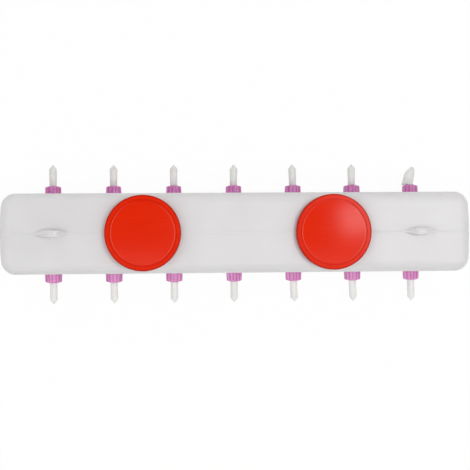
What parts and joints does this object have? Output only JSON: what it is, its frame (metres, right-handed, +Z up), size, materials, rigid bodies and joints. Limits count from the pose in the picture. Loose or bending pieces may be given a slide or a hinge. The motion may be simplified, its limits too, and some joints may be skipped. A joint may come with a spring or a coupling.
{
  "type": "multi teat lamb feeder",
  "caption": "Long translucent milk tank with screw-on teats along both sides, round push-on lids over the filler necks and moulded hanging lugs, for feeding lambs.",
  "frame": {"origin": "middle of the tank's underside, on the ground that it stands on", "axes": "+X along the tank, from the left lid to the right lid; +Y towards the rear row of teats; +Z up"},
  "size_m": [0.9798, 0.2998, 0.207],
  "materials": {
    "tank": "natural translucent polyethylene, satin as moulded",
    "lid": "red polyethylene, soft gloss",
    "nut": "violet moulded plastic, soft gloss",
    "teat": "clear milky silicone rubber, satin",
    "spigot": "white moulded plastic, satin",
    "seal": "black rubber, matt"
  },
  "bodies": {
    "tank": {"tank": "tank", "seals_front": "seal", "seals_rear": "seal", "spigot_front_1": "spigot", "spigot_front_2": "spigot", "spigot_front_3": "spigot", "spigot_front_4": "spigot", "spigot_front_5": "spigot", "spigot_front_6": "spigot", "spigot_front_7": "spigot", "spigot_rear_1": "spigot", "spigot_rear_2": "spigot", "spigot_rear_3": "spigot", "spigot_rear_4": "spigot", "spigot_rear_5": "spigot", "spigot_rear_6": "spigot", "spigot_rear_7": "spigot"},
    "lid_left": {"lid_left": "lid"},
    "lid_right": {"lid_right": "lid"},
    "teat_front_1": {"teat_front_1": "teat"},
    "teat_front_2": {"teat_front_2": "teat"},
    "teat_front_3": {"teat_front_3": "teat"},
    "teat_front_4": {"teat_front_4": "teat"},
    "teat_front_5": {"teat_front_5": "teat"},
    "teat_front_6": {"teat_front_6": "teat"},
    "teat_front_7": {"teat_front_7": "teat"},
    "teat_rear_1": {"teat_rear_1": "teat"},
    "teat_rear_2": {"teat_rear_2": "teat"},
    "teat_rear_3": {"teat_rear_3": "teat"},
    "teat_rear_4": {"teat_rear_4": "teat"},
    "teat_rear_5": {"teat_rear_5": "teat"},
    "teat_rear_6": {"teat_rear_6": "teat"},
    "teat_rear_7": {"teat_rear_7": "teat"},
    "nut_front_1": {"nut_front_1": "nut"},
    "nut_front_2": {"nut_front_2": "nut"},
    "nut_front_3": {"nut_front_3": "nut"},
    "nut_front_4": {"nut_front_4": "nut"},
    "nut_front_5": {"nut_front_5": "nut"},
    "nut_front_6": {"nut_front_6": "nut"},
    "nut_front_7": {"nut_front_7": "nut"},
    "nut_rear_1": {"nut_rear_1": "nut"},
    "nut_rear_2": {"nut_rear_2": "nut"},
    "nut_rear_3": {"nut_rear_3": "nut"},
    "nut_rear_4": {"nut_rear_4": "nut"},
    "nut_rear_5": {"nut_rear_5": "nut"},
    "nut_rear_6": {"nut_rear_6": "nut"},
    "nut_rear_7": {"nut_rear_7": "nut"}
  },
  "joints": [
    {"name": "lid_left_lift", "type": "slide", "parent": "tank", "child": "lid_left", "axis": [0, 0, 1], "range_m": [0, 0.08]},
    {"name": "lid_right_lift", "type": "slide", "parent": "tank", "child": "lid_right", "axis": [0, 0, 1], "range_m": [0, 0.08]},
    {"name": "teat_front_1_draw", "type": "slide", "parent": "tank", "child": "teat_front_1", "axis": [0, -1, 0], "range_m": [0, 0.015]},
    {"name": "nut_front_1_turn", "type": "hinge", "parent": "teat_front_1", "child": "nut_front_1", "pos_m": [-0.39, -0.0835, 0.04255], "axis": [0, -1, 0], "range_deg": [0, 1800]},
    {"name": "teat_front_2_draw", "type": "slide", "parent": "tank", "child": "teat_front_2", "axis": [0, -1, 0], "range_m": [0, 0.015]},
    {"name": "nut_front_2_turn", "type": "hinge", "parent": "teat_front_2", "child": "nut_front_2", "pos_m": [-0.26, -0.0835, 0.04255], "axis": [0, -1, 0], "range_deg": [0, 1800]},
    {"name": "teat_front_3_draw", "type": "slide", "parent": "tank", "child": "teat_front_3", "axis": [0, -1, 0], "range_m": [0, 0.015]},
    {"name": "nut_front_3_turn", "type": "hinge", "parent": "teat_front_3", "child": "nut_front_3", "pos_m": [-0.13, -0.0835, 0.04255], "axis": [0, -1, 0], "range_deg": [0, 1800]},
    {"name": "teat_front_4_draw", "type": "slide", "parent": "tank", "child": "teat_front_4", "axis": [0, -1, 0], "range_m": [0, 0.015]},
    {"name": "nut_front_4_turn", "type": "hinge", "parent": "teat_front_4", "child": "nut_front_4", "pos_m": [0, -0.0835, 0.04255], "axis": [0, -1, 0], "range_deg": [0, 1800]},
    {"name": "teat_front_5_draw", "type": "slide", "parent": "tank", "child": "teat_front_5", "axis": [0, -1, 0], "range_m": [0, 0.015]},
    {"name": "nut_front_5_turn", "type": "hinge", "parent": "teat_front_5", "child": "nut_front_5", "pos_m": [0.13, -0.0835, 0.04255], "axis": [0, -1, 0], "range_deg": [0, 1800]},
    {"name": "teat_front_6_draw", "type": "slide", "parent": "tank", "child": "teat_front_6", "axis": [0, -1, 0], "range_m": [0, 0.015]},
    {"name": "nut_front_6_turn", "type": "hinge", "parent": "teat_front_6", "child": "nut_front_6", "pos_m": [0.26, -0.0835, 0.04255], "axis": [0, -1, 0], "range_deg": [0, 1800]},
    {"name": "teat_front_7_draw", "type": "slide", "parent": "tank", "child": "teat_front_7", "axis": [0, -1, 0], "range_m": [0, 0.015]},
    {"name": "nut_front_7_turn", "type": "hinge", "parent": "teat_front_7", "child": "nut_front_7", "pos_m": [0.39, -0.0835, 0.04255], "axis": [0, -1, 0], "range_deg": [0, 1800]},
    {"name": "teat_rear_1_draw", "type": "slide", "parent": "tank", "child": "teat_rear_1", "axis": [0, 1, 0], "range_m": [0, 0.015]},
    {"name": "nut_rear_1_turn", "type": "hinge", "parent": "teat_rear_1", "child": "nut_rear_1", "pos_m": [-0.39, 0.0835, 0.04255], "axis": [0, 1, 0], "range_deg": [0, 1800]},
    {"name": "teat_rear_2_draw", "type": "slide", "parent": "tank", "child": "teat_rear_2", "axis": [0, 1, 0], "range_m": [0, 0.015]},
    {"name": "nut_rear_2_turn", "type": "hinge", "parent": "teat_rear_2", "child": "nut_rear_2", "pos_m": [-0.26, 0.0835, 0.04255], "axis": [0, 1, 0], "range_deg": [0, 1800]},
    {"name": "teat_rear_3_draw", "type": "slide", "parent": "tank", "child": "teat_rear_3", "axis": [0, 1, 0], "range_m": [0, 0.015]},
    {"name": "nut_rear_3_turn", "type": "hinge", "parent": "teat_rear_3", "child": "nut_rear_3", "pos_m": [-0.13, 0.0835, 0.04255], "axis": [0, 1, 0], "range_deg": [0, 1800]},
    {"name": "teat_rear_4_draw", "type": "slide", "parent": "tank", "child": "teat_rear_4", "axis": [0, 1, 0], "range_m": [0, 0.015]},
    {"name": "nut_rear_4_turn", "type": "hinge", "parent": "teat_rear_4", "child": "nut_rear_4", "pos_m": [0, 0.0835, 0.04255], "axis": [0, 1, 0], "range_deg": [0, 1800]},
    {"name": "teat_rear_5_draw", "type": "slide", "parent": "tank", "child": "teat_rear_5", "axis": [0, 1, 0], "range_m": [0, 0.015]},
    {"name": "nut_rear_5_turn", "type": "hinge", "parent": "teat_rear_5", "child": "nut_rear_5", "pos_m": [0.13, 0.0835, 0.04255], "axis": [0, 1, 0], "range_deg": [0, 1800]},
    {"name": "teat_rear_6_draw", "type": "slide", "parent": "tank", "child": "teat_rear_6", "axis": [0, 1, 0], "range_m": [0, 0.015]},
    {"name": "nut_rear_6_turn", "type": "hinge", "parent": "teat_rear_6", "child": "nut_rear_6", "pos_m": [0.26, 0.0835, 0.04255], "axis": [0, 1, 0], "range_deg": [0, 1800]},
    {"name": "teat_rear_7_draw", "type": "slide", "parent": "tank", "child": "teat_rear_7", "axis": [0, 1, 0], "range_m": [0, 0.015]},
    {"name": "nut_rear_7_turn", "type": "hinge", "parent": "teat_rear_7", "child": "nut_rear_7", "pos_m": [0.39, 0.0835, 0.04255], "axis": [0, 1, 0], "range_deg": [0, 1800]}
  ],
  "couplings": [
    {"joint": "teat_front_1_draw", "follows": "nut_front_1_turn", "m_per_rad": 0.00047746},
    {"joint": "teat_front_2_draw", "follows": "nut_front_2_turn", "m_per_rad": 0.00047746},
    {"joint": "teat_front_3_draw", "follows": "nut_front_3_turn", "m_per_rad": 0.00047746},
    {"joint": "teat_front_4_draw", "follows": "nut_front_4_turn", "m_per_rad": 0.00047746},
    {"joint": "teat_front_5_draw", "follows": "nut_front_5_turn", "m_per_rad": 0.00047746},
    {"joint": "teat_front_6_draw", "follows": "nut_front_6_turn", "m_per_rad": 0.00047746},
    {"joint": "teat_front_7_draw", "follows": "nut_front_7_turn", "m_per_rad": 0.00047746},
    {"joint": "teat_rear_1_draw", "follows": "nut_rear_1_turn", "m_per_rad": 0.00047746},
    {"joint": "teat_rear_2_draw", "follows": "nut_rear_2_turn", "m_per_rad": 0.00047746},
    {"joint": "teat_rear_3_draw", "follows": "nut_rear_3_turn", "m_per_rad": 0.00047746},
    {"joint": "teat_rear_4_draw", "follows": "nut_rear_4_turn", "m_per_rad": 0.00047746},
    {"joint": "teat_rear_5_draw", "follows": "nut_rear_5_turn", "m_per_rad": 0.00047746},
    {"joint": "teat_rear_6_draw", "follows": "nut_rear_6_turn", "m_per_rad": 0.00047746},
    {"joint": "teat_rear_7_draw", "follows": "nut_rear_7_turn", "m_per_rad": 0.00047746}
  ]
}
